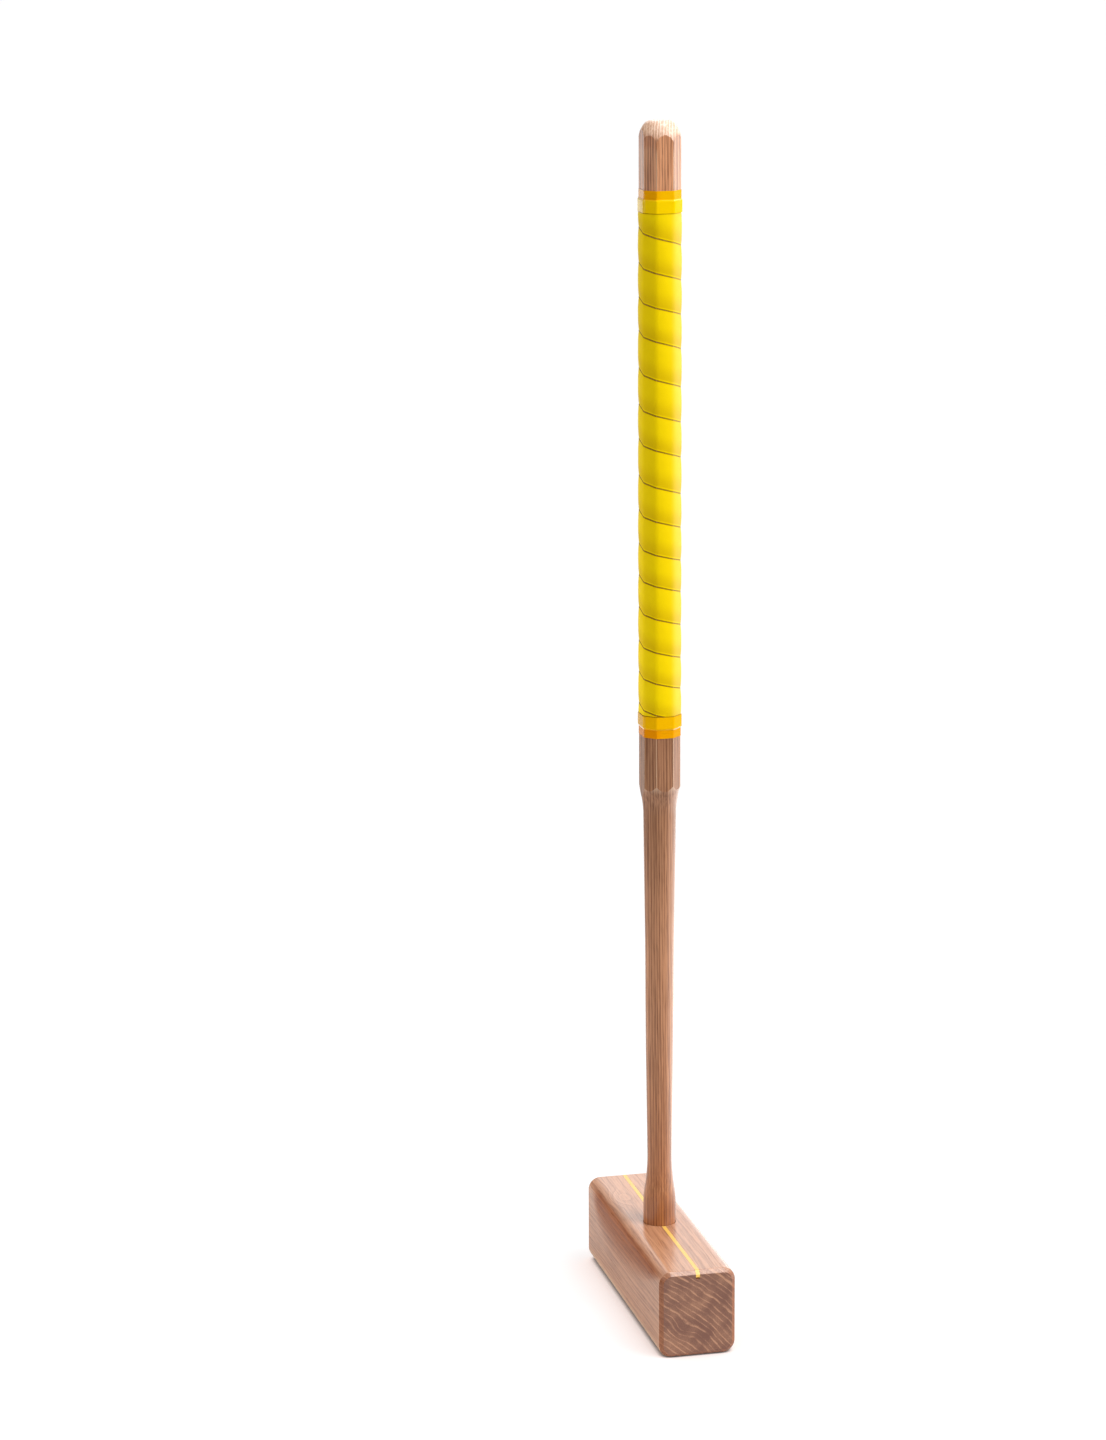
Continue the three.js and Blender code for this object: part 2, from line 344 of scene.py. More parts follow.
def handleOutline(low, high):
    # Half of the turned blank as radius and height, from the tenon's end to the crown
    shape = handleShape
    foot, neck, shaft = shape['footRadius'], shape['neckRadius'], shape['shaftTopRadius']
    points = [(0, low.z), (foot, low.z)]

    # The flare is an arc that starts at the foot's edge and meets the neck smoothly
    rise, spread = shape['neckHeight'] - shape['footTop'], foot - neck
    flare = (rise ** 2 + spread ** 2) / (2 * spread)
    start = math.pi + math.asin((rise - shape['shoulder']) / flare)
    arc = arcPoints((neck + flare, shape['neckHeight']), flare, start, math.pi, 14)
    below = (foot, shape['footTop'] - shape['shoulder'])
    for i in range(8):
        a, b, c = (1 - i / 8) ** 2, 2 * (i / 8) * (1 - i / 8), (i / 8) ** 2
        points.append((
            a * below[0] + b * foot + c * arc[0][0],
            a * below[1] + b * shape['footTop'] + c * arc[0][1]))
    points += arc

    shaftTop = high.z - shape['octagonHeight'] - shape['coveLength']
    lengths, paintedLightGains = zip(*swellShares)
    steps = 60
    for i in range(1, steps + 1):
        place = (len(swellShares) - 1) * i / steps
        points.append((
            neck + (shaft - neck) * splineAt(paintedLightGains, place),
            shape['neckHeight'] + (shaftTop - shape['neckHeight']) * splineAt(lengths, place)))

    cove = shape['coveRadius']
    points += arcPoints(
        (shaft + cove, shaftTop), cove, math.pi, math.pi - math.asin(shape['coveLength'] / cove), 16)[1:]

    # Past the cove the blank clears the octagon's corners, up to the dome's two arcs
    full = math.hypot(high.x, high.y - shape['chamfer']) + shape['blankGap']
    side, edge = shape['domeSideRadius'], shape['domeEdgeRadius']
    meeting = math.asin((shape['domeLength'] - edge) / (side - edge))
    points += arcPoints((full - side, high.z - shape['domeLength']), side, 0, meeting, 20)
    edgeX = full - side + (side - edge) * math.cos(meeting)
    points += arcPoints((edgeX, high.z - edge), edge, meeting, math.pi / 2, 12)[1:]
    return points + [(0, high.z)]


def turn(name, outline, sides):
    # One corner of a plane is drawn along the outline, then spun round the Z axis
    makeNone()
    bpy.ops.mesh.primitive_plane_add(size=1)
    blank = named(name)
    place = blank.data.vertices[0].co.copy()
    pick(blank, 'verts', lambda vert: vert.index != 0)
    bpy.ops.mesh.delete(type='VERT')
    pick(blank, 'verts', lambda vert: True)
    for i, (radius, height) in enumerate(outline):
        step = Vector((radius, 0, height)) - place
        if i == 0:
            bpy.ops.transform.translate(value=step)
        else:
            bpy.ops.mesh.extrude_region_move(TRANSFORM_OT_translate={'value': step})
        place = place + step
    bpy.ops.mesh.select_all(action='SELECT')
    bpy.ops.mesh.spin(
        steps=sides, angle=math.tau, center=(0, 0, 0), axis=(0, 0, 1), use_auto_merge=True)
    bpy.ops.mesh.select_all(action='SELECT')
    bpy.ops.mesh.remove_doubles(threshold=1e-6)
    bpy.ops.mesh.normals_make_consistent(inside=False)
    makeNone()
    return blank


def facetReach():
    # How far the octagon's facets lie from the axis, counter-clockwise from the front facet
    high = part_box('handle')[1]
    slant = (high.x + high.y - handleShape['chamfer']) / math.sqrt(2)
    return [high.x, slant, high.y, slant] * 2


def facing(eighths):
    angle = eighths * math.tau / 8
    return Vector((math.cos(angle), math.sin(angle), 0))


def makeHandle():
    low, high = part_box('handle')
    handle = turn('mallet_handle', handleOutline(low, high), handleShape['sides'])
    for k, reach in enumerate(facetReach()):
        pick(handle, 'faces', lambda face: True)
        bpy.ops.mesh.bisect(
            plane_co=facing(k) * reach, plane_no=facing(k), use_fill=True, clear_outer=True)
    longEdge = handleShape['octagonHeight'] / 2
    pick(handle, 'edges', lambda edge: edge.calc_length() > longEdge)
    bpy.ops.mesh.bevel(
        offset=handleShape['edgeRadius'], segments=3, profile=.5, affect='EDGES')
    makeNone()

    # Where an edge runs out into the dome or the cove, its bevel is sanded back to the facets
    facets = [(facing(k), reach) for k, reach in enumerate(facetReach())]
    for vertex in handle.data.vertices:
        for outward, reach in facets:
            vertex.co -= outward * max(0, vertex.co.dot(outward) - reach)

    # The kerf in the end of the tenon, a little wider than its wedge
    wedgeLow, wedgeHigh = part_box('tenon_wedge')
    gap = Vector((handleShape['kerfGap'], headShape['overrun'], 0))
    kerf = addBox('kerf', wedgeLow - gap, wedgeHigh + gap)
    pick(kerf, 'verts', lambda vert: vert.co.z > wedgeHigh.z / 2)
    bpy.ops.transform.resize(value=(.4, 1, 1), center_override=(0, 0, wedgeHigh.z))
    pick(kerf, 'faces', lambda face: face.normal.z < -.9)
    bpy.ops.transform.translate(value=(0, 0, -headShape['overrun']))
    makeNone()
    carve(handle, kerf)
    smooth(handle, 7.5)
    return handle


# The way round the octagon that the foam and the tape follow

turnShape = {
    'flatSteps': 6,
    'cornerSteps': 5,
}


def octagonTurn(radius):
    # One turn round corners of the given radius: points, outward directions, how far each lies
    # from a corner (0 at a corner, 1 in the middle of a facet) and its share of the way round
    reach = [facet - radius for facet in facetReach()]

    def corner(k):
        a, b = facing(k), facing(k + 1)
        da, db = reach[k % 8], reach[(k + 1) % 8]
        spread = a.x * b.y - a.y * b.x
        return Vector(((da * b.y - db * a.y) / spread, (db * a.x - da * b.x) / spread, 0))

    stations = []
    for k in range(8):
        start, end = corner(k - 1), corner(k)
        for i in range(turnShape['flatSteps']):
            share = i / turnShape['flatSteps']
            point = start.lerp(end, share) + facing(k) * radius
            stations.append((point, facing(k), 4 * share * (1 - share)))
        for i in range(turnShape['cornerSteps']):
            out = facing(k + i / turnShape['cornerSteps'])
            stations.append((end + out * radius, out, 0))
    walked = [0]
    for here, after in zip(stations, stations[1:] + stations[:1]):
        walked.append(walked[-1] + (after[0] - here[0]).length)
    return [(*station, walk / walked[-1]) for station, walk in zip(stations, walked)], walked[-1]


def layStrip(name, steps, rows):
    # A flat strip one unit long, wide and thick, ready to be wound
    makeNone()
    bpy.ops.mesh.primitive_grid_add(x_subdivisions=steps, y_subdivisions=rows, size=1)
    strip = named(name)
    pick(strip, 'faces', lambda face: True)
    bpy.ops.mesh.extrude_region_move(TRANSFORM_OT_translate={'value': (0, 0, 1)})
    makeNone()
    return strip


def windStrip(strip, steps, stations, firstStation, markName, place):
    # place gives an offset from the wood, a height and a mark for the material, from the turns
    # made, the share across the strip, its side and how far the station lies from a corner
    marks = strip.data.attributes.new(markName, 'FLOAT', 'POINT')
    for vertex in strip.data.vertices:
        step = round((vertex.co.x + .5) * steps)
        point, out, crown, share = stations[(firstStation + step) % len(stations)]
        turns = (firstStation + step) // len(stations) + share
        offset, height, mark = place(turns, vertex.co.y + .5, vertex.co.z > .5, crown)
        vertex.co = point + out * offset
        vertex.co.z = height
        marks.data[vertex.index].value = mark
    pick(strip, 'faces', lambda face: True)
    bpy.ops.mesh.normals_make_consistent(inside=False)
    makeNone()


# The foam strip

foamShape = {
    'pitch': .0255,
    'seam': .0003,
    'woodGap': .0002,
    'thickness': .00085,
    'cornerRadius': .0045,
    'cornerLoss': .0001,  # the foam is stretched thinner over the octagon's corners
    'edgeThickness': .00012,
    'edgeRound': .0125,  # each turn swells from its pulled edges to its middle
    'swell': 2.5,
    'markWidth': .0013,
    'tail': .0012,
    'sliver': .0004,  # the strip's ends are cut to nearly nothing
    'squeeze': .00028,  # how far the tape presses it down
    'squeezeRun': .0016,
    'ripple': .00007,
    'rippleScale': 90,
    'rows': 18,
}

# How far below an even winding each turn was laid, from the top turn down
turnDrift = [0, .0005, .0007, .0006, 0, .0029, .0039, .0043, .0064, .0065, .0062,
             .0044, .0038, .0037, .0019, .0006, 0, 0]


def makeFoam():
    shape = foamShape
    low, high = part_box('foam_grip')
    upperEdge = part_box('tape_upper')[0].z
    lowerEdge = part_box('tape_lower')[1].z
    stations = octagonTurn(shape['cornerRadius'])[0]
    turns = 1 + (high.z - low.z - 2 * shape['tail']) / shape['pitch']
    steps = math.ceil(turns * len(stations))

    def seamHeight(turn):
        return high.z - shape['tail'] - shape['pitch'] * turn - splineAt(turnDrift, max(turn, 0))

    def place(turn, across, outside, crown):
        top = max(low.z + shape['sliver'], min(high.z, seamHeight(turn - 1) - shape['seam'] / 2))
        bottom = min(top - shape['sliver'], max(low.z, seamHeight(turn) + shape['seam'] / 2))
        across = .5 - .5 * math.cos(math.pi * across)
        height = bottom + (top - bottom) * across
        if not outside:
            return shape['woodGap'], height, 1
        inward = min(height - bottom, top - height) / shape['edgeRound']
        bulge = 1 - (1 - min(1, inward)) ** shape['swell']
        full = shape['thickness'] - shape['cornerLoss'] * (1 - crown)
        angle = turn * math.tau
        where = Vector((math.cos(angle), math.sin(angle), height * shape['rippleScale']))
        full += shape['ripple'] * noise.noise(where * 1.7)
        pressed = ease((height - upperEdge) / shape['squeezeRun'] + .7)
        pressed += ease((lowerEdge - height) / shape['squeezeRun'] + .7)
        full -= shape['squeeze'] * min(1, pressed)
        edge = shape['edgeThickness']
        mark = 1 - min(1, inward * shape['edgeRound'] / shape['markWidth'])
        # Below a turn's middle the mark goes negative, for painted shade on its lower part
        if not mark:
            mark = min(0, (height - bottom) / (top - bottom) * 1.5 - 1)
        return shape['woodGap'] + edge + (full - edge) * bulge, height, mark

    foam = layStrip('foam_strip', steps, shape['rows'])
    windStrip(foam, steps, stations, 0, 'nearSeam', place)
    smooth(foam, 60)
    return foam


# The tape bands

tapeShape = {
    'turns': 2.08,
    'firstStation': 47,  # the tape starts and ends behind the handle
    'thickness': .00014,
    'gap': .00004,
    'cornerRadius': .0012,
    'slip': .0005,  # how far the second layer was laid off the first
    'lip': .0002,
    'ramp': .0015,
    'wrinkle': .00005,
    'rows': 44,
}

# Folds in the tape where it steps down to the wood: turns made and millimetres past the foam's
# end at the fold's two ends, and its height in millimetres
upperFolds = [(.905, 3.2, .985, 7.6, .3), (.36, 2.6, .41, 6.4, .2), (.62, 2.4, .66, 5, .2)]
lowerFolds = [(.02, 2.2, .1, 3.6, .25), (.93, 2.4, .97, 6, .2), (.45, 2.2, .52, 5.2, .2)]


def foldHeight(turn, past, folds, wayRound):
    total = 0
    for startTurn, startPast, endTurn, endPast, height in folds:
        x, y = (turn % 1) * wayRound, past
        start = Vector((startTurn * wayRound, startPast * .001))
        end = Vector((endTurn * wayRound, endPast * .001))
        along = end - start
        share = min(1, max(0, (Vector((x, y)) - start).dot(along) / along.length_squared))
        away = (Vector((x, y)) - start - along * share).length
        total += height * .001 * math.sin(math.pi * (.15 + .7 * share)) * math.exp(-(away / .0005) ** 2)
    return total


def makeTape(name, nodeName, side, folds):
    shape = tapeShape
    low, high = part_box(nodeName)
    foamLow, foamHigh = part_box('foam_grip')
    foamEnd = foamHigh.z if side > 0 else foamLow.z
    onFoam = foamShape['woodGap'] + foamShape['thickness'] - foamShape['squeeze'] + shape['gap']
    stations, wayRound = octagonTurn(shape['cornerRadius'])
    steps = round(shape['turns'] * len(stations))
    firstTurn = stations[shape['firstStation']][3]

    def place(turn, across, outside, crown):
        laid = turn - firstTurn
        layer = ease((laid - .98) / .02) + ease((laid - 1.98) / .02)
        height = low.z + (high.z - low.z) * across
        height += shape['slip'] * (ease((laid - .5) / .7) - .5) * side * (1 - abs(2 * across - 1))
        past = side * (height - foamEnd)
        down = ease((past - shape['lip']) / shape['ramp'])
        foamOffset = onFoam - foamShape['cornerLoss'] * (1 - crown) * .8
        offset = foamOffset + (shape['gap'] - foamOffset) * down
        where = Vector((math.cos(turn * math.tau) * 9, math.sin(turn * math.tau) * 9, height * 700))
        offset += shape['wrinkle'] * max(0, noise.noise(where) + .3) * (1 - abs(2 * down - 1) * .6)
        offset += foldHeight(turn, past, folds, wayRound)
        offset += shape['thickness'] * (layer * 1.15 + (1 if outside else 0))
        return offset, height, down

    tape = layStrip(name, steps, shape['rows'])
    windStrip(tape, steps, stations, shape['firstStation'], 'overWood', place)
    smooth(tape, 50)
    return tape


# Materials

headWood = {
    'grain': 'X',
    'pith': (-.129, -.129),  # across the grain, on the plane through the middle of the mallet
    'tilt': (.02, -.03),
    'ring': .0041,
    'ringBend': (.0015, .00045),  # broad waves in the rings and small ones
    'ringSpread': 1.1,  # how much their widths differ
    'wander': (5, 30),  # along and across the grain, in waves per metre
    'lines': (.3, .5),  # how strongly the early and the late wood show
    'fibres': 1.9,
    'light': (.6, .29, .155),
    'dark': (.37, .15, .07),
    'endLight': (.47, .235, .135),
    'endDark': (.19, .08, .053),
    'endFrom': (.5, .97),  # how far the surface must turn across the grain
    'endLines': 0,
    'roughness': .42,
    'contrast': (.9, .9),
    'lacquer': .85,
}

handleWood = {
    'grain': 'Z',
    'pith': (-.012, -.07),
    'tilt': (.004, .006),
    'ring': .0021,
    'ringBend': (.0007, .0002),
    'ringSpread': 1.2,
    'wander': (4, 45),
    'lines': (.5, .75),
    'fibres': 1.3,
    'light': (.6, .275, .135),
    'dark': (.26, .1, .042),
    'endLight': (.9, .7, .57),
    'endDark': (.64, .4, .27),
    'endFrom': (.08, .5),
    'endLines': .8,  # how far the rings' lines run on over the dome
    'roughness': .36,
    'contrast': (.8, 1.6),  # at the foot and at the top
    'lacquer': .85,
}

eye = {  # a small swirl in the rings of the head, seen in its end
    'middle': (-.011, .019),
    'size': .013,
    'lift': .0042,
}

swirl = {  # a curl in the grain on the head's top, near its rear
    'middle': (-.058, -.017),
    'size': .013,
    'length': 1.9,
    'lift': .007,
}


def woodMaterial(name, wood, tint=None):
    material, wire, shader = newMaterial(
        name, {'IOR': 1.5, 'Specular IOR Level': .3, 'Coat Roughness': .2, 'Coat IOR': 1.5})
    x, y, z = wire.add('ShaderNodeTexCoord', output=3).split()
    normalX, normalY, normalZ = wire.add('ShaderNodeTexCoord', output=1).split()
    if wood['grain'] == 'X':
        along, a, b, ended = x, y, z, normalX
    else:
        along, a, b, ended = z, x, y, normalZ
    endGrain = ended.sum('MAXIMUM', ended.rise(*wood['endFrom']), (0 - ended).rise(.6, .97))

    # The wood is a solid with growth rings round a pith, and it wanders a little
    slow, wide = wood['wander']
    a = a + along * wood['tilt'][0]
    b = b + along * wood['tilt'][1]
    drift = wire.noise(wire.vector(along * slow, a * wide, b * wide), 1, 2) - .5
    ruffle = wire.noise(wire.vector(along * slow * 3, a * wide * 5, b * wide * 5), 1, 2) - .5
    radius = lengthOf(wire, a - wood['pith'][0], b - wood['pith'][1])
    radius = radius + drift * (4 * wood['ringBend'][0]) + ruffle * (4 * wood['ringBend'][1])
    if wood['grain'] == 'X':
        away = lengthOf(wire, a - eye['middle'][0], b - eye['middle'][1])
        radius = radius + (1 - away.rise(0, eye['size'])) * eye['lift']
        away = lengthOf(wire, (x - swirl['middle'][0]) / swirl['length'], y - swirl['middle'][1])
        radius = radius + (1 - away.rise(0, swirl['size'])) * z.rise(.05, .065) * swirl['lift']
    spacing = wire.noise(wire.vector(radius * (.5 / wood['ring']), 0, 0), 1, 1) - .5
    rings = radius * (1 / wood['ring']) + spacing * wood['ringSpread']
    cycle = rings.sum('FRACT', rings)
    pale = cycle.rise(.02, .12) * (1 - cycle.rise(.14, .42))
    line = cycle.rise(.78, .96) * (1 - cycle.rise(.97, 1))
    everyRing = wire.add(
        'ShaderNodeTexWhiteNoise', {'noise_dimensions': '1D'}, {'W': rings.sum('FLOOR', rings)}, 0)

    # Fibres and pores are long threads, and broad clouds shift the tone
    fibre = wire.noise(wire.vector(along * 9, a * 520, b * 520), 1, 3, .62)
    thread = wire.noise(wire.vector(along * 34, a * 1150, b * 1150), 1, 2, .6)
    pore = wire.noise(wire.vector(along * 95, a * 1500, b * 1500), 1, 1).rise(.6, .72)
    pore = pore * (.35 + .65 * line)
    cloud = wire.noise(wire.vector(along * 5, a * 26, b * 26), 1, 2)
    early, late = wood['lines']
    tone = pale * early - line * (.4 + .6 * everyRing) * late
    tone = tone + (fibre - .5) * wood['fibres'] + (thread - .5) * 1.5
    contrast = along.rise(.1, .8).between(*wood['contrast'])
    tone = (tone + (cloud - .5) * .7) * contrast + .56

    side = tone.rise(0, 1).blend((*wood['dark'], 1), (*wood['light'], 1))
    side = (pore * .6).blend(side, (*[part * .5 for part in wood['dark']], 1))
    speck = wire.noise(wire.vector(along * 300, a * 1500, b * 1500), 1, 3, .7)
    broken = wire.noise(wire.vector(along * 20, a * 150, b * 150), 1, 2, .6).rise(.34, .62)
    blotch = wire.noise(wire.vector(along * 9, a * 70, b * 70), 1, 2)
    endTone = pale * (.35 + .65 * everyRing) * (.25 + .75 * broken) * .95
    endTone = endTone + (speck - .5) * (1.1 - wood['endLines']) + (blotch - .5) * 1.1
    endTone = endTone + (cloud - .5) * .5 + .24 + wood['endLines'] * .15
    endTone = endTone + (tone - .56) * wood['endLines']
    end = endTone.rise(0, 1).blend((*wood['endDark'], 1), (*wood['endLight'], 1))
    colour = endGrain.blend(side, end)
    lacquer = wood['lacquer'] - endGrain * .25 - pore * .2
    if tint:
        colour, lacquer = tint(wire, x, y, z, colour, lacquer)
    colour.into(shader, 'Base Color')
    lacquer.into(shader, 'Coat Weight')
    rough = wood['roughness'] + (fibre - .5) * .16 + pore * .2 + endGrain * .1 + (cloud - .5) * .1
    rough.into(shader, 'Roughness')
    height = fibre * .5 + thread * .35 - pore * .8 + pale * .2
    bump(wire, shader, height, .00006)
    return material


# A painted reflection on the head's left side, the colour of its chamfers and the pale edges of its sole
paintedReflectionAndEdgesLook = {
    'line': .0645,  # its upper edge
    'ends': (-.108, .118),
    'depth': .042,
    'colour': (.6, .38, .2),
    'reflectionCoatLoss': .97,
    'chamfer': (.78, .58, .42),
    'chamferTop': (.062, .066),
    'wornAndLit': (.8, .47, .26),
    'wornAndLitTop': (.006, .011),
}


def paintedReflectionAndEdges(wire, x, y, z, colour, lacquer):
    # Painted reflection: a warmer, darker band high on the left side of the head, with less coat over it
    # so that it mirrors less
    wave = wire.noise(wire.vector(x * 12, y * 60, z * 60), 1, 3) - .5
    down = paintedReflectionAndEdgesLook['line'] - z + wave * .004
    low, high = paintedReflectionAndEdgesLook['ends']
    share = (x - low) * (1 / (high - low))
    width = share.sum('POWER', share, .6) * (1 - share) * 2.9
    width = width.sum('MAXIMUM', width, .01) * paintedReflectionAndEdgesLook['depth']
    band = down.rise(-.002, .0015) * (1 - (down / width).rise(.2, 1))
    band = band * x.rise(low, low + .03) * (1 - x.rise(high - .03, high)) * (0 - y).rise(.02, .027)
    # Painted reflection: the band darkens and warms the side
    colour = band.blend(colour, (*paintedReflectionAndEdgesLook['colour'], 1), 'MULTIPLY')
    # The cut fibres of the chamfers drank more lacquer. The sole's edges are painted pale: partly wear,
    # partly painted bounce light from the paper
    ended = wire.add('ShaderNodeTexCoord', output=1).split()[0]
    ended = ended.sum('ABSOLUTE', ended)
    chamfer = ended.rise(.4, .6) * (1 - ended.rise(.78, .9)) * (1 - z.rise(*paintedReflectionAndEdgesLook['chamferTop']))
    colour = chamfer.blend(colour, (*paintedReflectionAndEdgesLook['chamfer'], 1), 'MULTIPLY')
    wornAndLit = 1 - (z + wave * .003).rise(*paintedReflectionAndEdgesLook['wornAndLitTop'])
    wornAndLit = wornAndLit * (1 - ended.rise(.3, .6))
    colour = wornAndLit.blend(colour, (*paintedReflectionAndEdgesLook['wornAndLit'], 1))
    return colour, lacquer * (1 - band * paintedReflectionAndEdgesLook['reflectionCoatLoss'])


footLook = {
    'heights': (.075, .24),  # from the head's top to where the warm tone has faded
    'colour': (.88, .72, .52),
    'paintedLightTop': (.6, .88),
    'paintedLightFoot': (.22, .42),
    'paintedLightGains': (.75, .53, .22),  # painted light: the gain of the octagon's lower end, and how much the top and the foot add
    'dome': (.893, .898),
    'domeShade': (.92, .8, .7),  # painted shade on the left
    'octagon': (.41, .42, .89, .896),
    'wornAndLit': (.74, .48, .31),  # the octagon's sanded edges, worn and with a painted highlight
    'wearAndHighlight': .85,
}


def warmFootAndPaintedLight(wire, x, y, z, colour, lacquer):
    # The handle is warm at its foot. Painted light makes it palest at its top and dark about the lower
    # end of the octagon, and painted shade darkens the dome's left side
    share = 1 - z.rise(*footLook['heights'])
    colour = share.blend(colour, (*footLook['colour'], 1), 'MULTIPLY')
    # Painted shade on the left of the dome
    share = z.rise(*footLook['dome']) * (-.001 - y).rise(.002, .011)
    colour = share.blend(colour, (*footLook['domeShade'], 1), 'MULTIPLY')
    # Painted light: the colour is scaled brighter at the top and at the foot
    least, top, foot = footLook['paintedLightGains']
    gain = least + z.rise(*footLook['paintedLightTop']) * top + (1 - z.rise(*footLook['paintedLightFoot'])) * foot
    scaled = wire.add(
        'ShaderNodeVectorMath', {'operation': 'MULTIPLY'}, {0: colour, 1: wire.vector(gain, gain, gain)})
    # The octagon's edges face between its facets, and get a painted highlight and wear there
    normalX, normalY, normalZ = wire.add('ShaderNodeTexCoord', output=1).split()
    slant = normalX * normalY
    slant = slant.sum('ABSOLUTE', slant)
    edge = slant.rise(.06, .2) * (1 - slant.rise(.43, .49))
    edge = edge * z.rise(*footLook['octagon'][:2]) * (1 - z.rise(*footLook['octagon'][2:]))
    scaled = (edge * footLook['wearAndHighlight']).blend(scaled, (*footLook['wornAndLit'], 1))
    return scaled, lacquer


foamLook = {
    'dark': (.94, .65, .001),
    'light': (1, .74, .001),
    'sheen': (1, .85, .04),
    'under': (.83, .77, 1),  # painted shade towards each turn's lower edge
    'paintedSheen': .075,
    'seam': (.3, .11, .001),
    'cells': 1900,
    'depth': .00011,  # of the cells
    'cushion': .5,  # how far the foam rounds the octagon off
}


def foamMaterial(tapeEdges):
    look = foamLook
    material, wire, shader = newMaterial(
        'yellow_foam',
        {'IOR': 1.45, 'Specular IOR Level': .5, 'Specular Tint': (*look['sheen'], 1)})
    where = wire.add('ShaderNodeTexCoord', output=3)
    cells = wire.add(
        'ShaderNodeTexVoronoi', {'feature': 'F1'},
        {'Vector': where, 'Scale': look['cells'], 'Randomness': 1})
    fine = wire.noise(where, 2600, 2, .6)
    mottle = wire.noise(where, 70, 3, .6)
    # Painted shade in the seams between the turns
    seam = wire.attribute('nearSeam').rise(.45, .9)
    under = (0 - wire.attribute('nearSeam')).rise(.1, .9)
    x, y, z = where.split()
    # Painted shadow along the tapes' edges, where they stand proud of the foam
    for edge in tapeEdges:
        off = z - edge
        seam = seam.sum('MAXIMUM', seam, 1 - off.sum('ABSOLUTE', off).rise(.0002, .0008))
    light = (mottle - .5) * .5 + (fine - .5) * .35 + .5
    colour = light.rise(0, 1).blend((*look['dark'], 1), (*look['light'], 1))
    # Painted shade on each turn's lower part
    colour = (under * (.6 + mottle * .8)).blend(colour, (*look['under'], 1), 'MULTIPLY')
    # Painted sheen: its right side, where the light falls, is washed paler
    colour = (y.rise(.003, .0115) * look['paintedSheen']).blend(colour, (1, 1, 1, 1))
    # Painted shade in the seams, darker on the shaded left
    seamShade = seam * y.rise(-.012, .012).between(1, .65)
    colour = seamShade.blend(colour, (*look['seam'], 1))
    colour.into(shader, 'Base Color')
    (.6 - (fine - .5) * .2 - (mottle - .5) * .1).into(shader, 'Roughness')
    pulled = wire.noise(wire.vector(x * 45, y * 45, z * 800), 1, 2, .6)
    # The cushion of the foam rounds the octagon off, so its height falls away from the axis
    cushion = lengthOf(wire, x, y) * (look['cushion'] / look['depth'])
    height = cells * .5 + fine * .4 + mottle * .9 + pulled * .5 - cushion
    bump(wire, shader, height, look['depth'])
    return material


tapeLook = {
    'dark': (.98, .61, .001),
    'light': (1, .69, .001),
    'sheen': (1, .8, .02),
    'reflectionLeft': (.0134, .0138),  # painted reflection: how far left of the axis the coated facet starts
    'overWood': (.96, .76, 1),
    'overWoodShadedLeft': (.96, .78, 1),
    'lowerBand': (.93, .74, 1),
    'lowerBandTop': (.5, .6),
}


def tapeMaterial():
    look = tapeLook
    material, wire, shader = newMaterial(
        'yellow_tape',
        {'IOR': 1.5, 'Specular IOR Level': .05, 'Specular Tint': (*look['sheen'], 1),
         'Coat Roughness': .12, 'Coat IOR': 1.7})
    where = wire.add('ShaderNodeTexCoord', output=3)
    x, y, z = where.split()
    stretch = wire.noise(wire.vector(x * 60, y * 60, z * 420), 1, 3, .6)
    fine = wire.noise(where, 1800, 2, .5)
    wood = wire.attribute('overWood')
    # The stretched tape shines where it steps down to the wood
    step = wood.rise(.02, .3) * (1 - wood.rise(.7, .98))
    shine = step * (.15 + .85 * stretch.rise(.42, .6))
    # Painted reflection: the left facet alone gets the coat as well
    shine = shine.sum('MAXIMUM', shine, (0 - y).rise(*look['reflectionLeft']))
    shine.into(shader, 'Coat Weight')
    light = (stretch - .5) * .8 + (fine - .5) * .2 + .5
    colour = light.rise(0, 1).blend((*look['dark'], 1), (*look['light'], 1))
    # The wood shows through the thin tape as a deeper orange
    colour = wood.rise(.5, 1).blend(colour, (*look['overWood'], 1), 'MULTIPLY')
    # Painted shade: over the wood it is deeper still on the left, the shaded side
    left = (0 - y).rise(.001, .009)
    colour = (wood * left).blend(colour, (*look['overWoodShadedLeft'], 1), 'MULTIPLY')
    # The lower band is darker and deeper in colour
    lower = 1 - z.rise(*look['lowerBandTop'])
    colour = lower.blend(colour, (*look['lowerBand'], 1), 'MULTIPLY')
    colour.into(shader, 'Base Color')
    (.2 + (stretch - .5) * .16 + (fine - .5) * .06).into(shader, 'Roughness')
    bump(wire, shader, stretch + fine * .15, .00012)
    return material


sightLook = {
    'dark': (.86, .48, .08),
    'light': (.96, .63, .15),
}


def sightMaterial():
    material, wire, shader = newMaterial('yellow_sight_line', {'IOR': 1.5})
    x, y, z = wire.add('ShaderNodeTexCoord', output=3).split()
    thread = wire.noise(wire.vector(x * 30, y * 2400, z * 2400), 1, 3, .6)
    cloud = wire.noise(wire.vector(x * 25, y * 60, z * 60), 1, 2)
    light = (thread - .5) * 1.1 + (cloud - .5) * .7 + .5
    colour = light.rise(0, 1).blend((*sightLook['dark'], 1), (*sightLook['light'], 1))
    colour.into(shader, 'Base Color')
    (.3 + (thread - .5) * .2).into(shader, 'Roughness')
    bump(wire, shader, thread, .00005)
    return material


wedgeLook = {
    'dark': (.1, .042, .022),
    'light': (.24, .11, .06),
}


